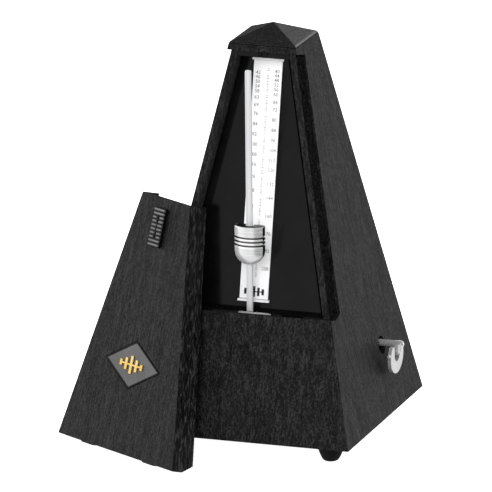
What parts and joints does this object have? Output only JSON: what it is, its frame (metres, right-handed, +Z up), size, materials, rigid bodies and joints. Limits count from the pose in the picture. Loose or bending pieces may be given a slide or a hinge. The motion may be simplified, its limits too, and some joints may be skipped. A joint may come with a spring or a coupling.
{
  "type": "mechanical metronome",
  "caption": "Wind-up pyramid metronome with a swinging pendulum rod, sliding weight, folding winding key, gear-train movement and a lift-off front cover.",
  "frame": {"origin": "centre of the bounding box of the case with the cover leaned on it, on the floor under the feet", "axes": "+Z up, longest extent; -Y the front with the dial; +X the side with the winding key"},
  "size_m": [0.1668, 0.1468, 0.215],
  "materials": {
    "case": "wood-grain texture, satin",
    "base": "plain board",
    "dial": "gloss",
    "scale": "printed white enamel",
    "grip": "ribbed",
    "badge": "grey enamelled plate",
    "gold": "polished",
    "rubber": "matte",
    "steel": "bright",
    "blued": "blued spring steel",
    "brass": "plain",
    "rod": "drawn, polished",
    "weight": "turned",
    "iron": "rough",
    "chrome": "nickel plated"
  },
  "bodies": {
    "case": {"case_shell": "case", "roof_cap": "case", "base_plate": "base", "dial_insert": "dial", "scale_plate": "scale", "scale_lip_top": "scale", "scale_lip_bottom": "scale", "rod_catch": "grip", "sill_strip": "steel", "foot_front_left": "rubber", "foot_front_right": "rubber", "foot_rear_left": "rubber", "foot_rear_right": "rubber", "foot_screw_front_left": "steel", "foot_screw_front_right": "steel", "foot_screw_rear_left": "steel", "foot_screw_rear_right": "steel", "frame_plate_left": "brass", "frame_plate_right": "brass", "frame_pillar_1": "steel", "frame_pillar_2": "steel", "frame_pillar_3": "steel", "frame_pillar_4": "steel", "movement_screw_left_front": "steel", "movement_screw_left_rear": "steel", "movement_screw_right_front": "steel", "movement_screw_right_rear": "steel", "click_stud": "steel", "click_spring": "blued", "escape_cock": "brass", "bearing_bridge_front": "brass", "bearing_bridge_rear": "brass"},
    "pendulum": {"pendulum_rod": "rod", "pendulum_arbor": "steel", "pendulum_hub": "brass", "pallet_front": "steel", "pallet_rear": "steel", "counterweight": "iron"},
    "weight": {"sliding_weight": "weight", "weight_spring": "blued"},
    "winding": {"winding_arbor": "steel", "ratchet_wheel": "steel", "key_shaft": "chrome"},
    "wing": {"key_wing": "chrome", "key_pin": "chrome"},
    "click_lever": {"click": "steel"},
    "barrel": {"barrel_drum": "brass", "barrel_cover": "brass", "great_wheel": "brass", "mainspring": "blued"},
    "intermediate": {"intermediate_arbor": "steel", "intermediate_wheel": "brass"},
    "escape": {"escape_arbor": "steel", "escape_wheel": "brass"},
    "lid": {"lid_shell": "case", "lid_grip": "grip", "lid_badge": "badge", "badge_ornament": "gold"}
  },
  "joints": [
    {"name": "pendulum_swing", "type": "hinge", "parent": "case", "child": "pendulum", "pos_m": [0.02015, -0.02653, 0.0583], "axis": [0, 1, 0], "range_deg": [-15, 15]},
    {"name": "weight_slide", "type": "slide", "parent": "pendulum", "child": "weight", "axis": [0, 0, 1], "range_m": [-0.012, 0.078]},
    {"name": "key_turn", "type": "hinge", "parent": "case", "child": "winding", "pos_m": [0.07155, 0.02827, 0.0477], "axis": [1, 0, 0], "continuous": true},
    {"name": "key_wing_fold", "type": "hinge", "parent": "winding", "child": "wing", "pos_m": [0.07885, 0.02827, 0.0438], "axis": [0, -1, 0], "range_deg": [-12, 90]},
    {"name": "click_lift", "type": "hinge", "parent": "case", "child": "click_lever", "pos_m": [0.04505, 0.04087, 0.0587], "axis": [1, 0, 0], "range_deg": [0, 12], "stiffness_Nm_per_rad": 0.004},
    {"name": "barrel_turn", "type": "hinge", "parent": "case", "child": "barrel", "pos_m": [0.02015, 0.02827, 0.0477], "axis": [1, 0, 0], "continuous": true},
    {"name": "intermediate_turn", "type": "hinge", "parent": "case", "child": "intermediate", "pos_m": [0.02015, 0.00196, 0.04166], "axis": [1, 0, 0], "continuous": true},
    {"name": "escape_turn", "type": "hinge", "parent": "case", "child": "escape", "pos_m": [0.03015, -0.00763, 0.0583], "axis": [1, 0, 0], "continuous": true},
    {"name": "lid_lift", "type": "slide", "parent": "case", "child": "lid", "axis": [0, 0, 1], "range_m": [0, 0.22]}
  ],
  "couplings": [
    {"joint": "intermediate_turn", "follows": "barrel_turn", "ratio": -4},
    {"joint": "escape_turn", "follows": "barrel_turn", "ratio": 12}
  ]
}
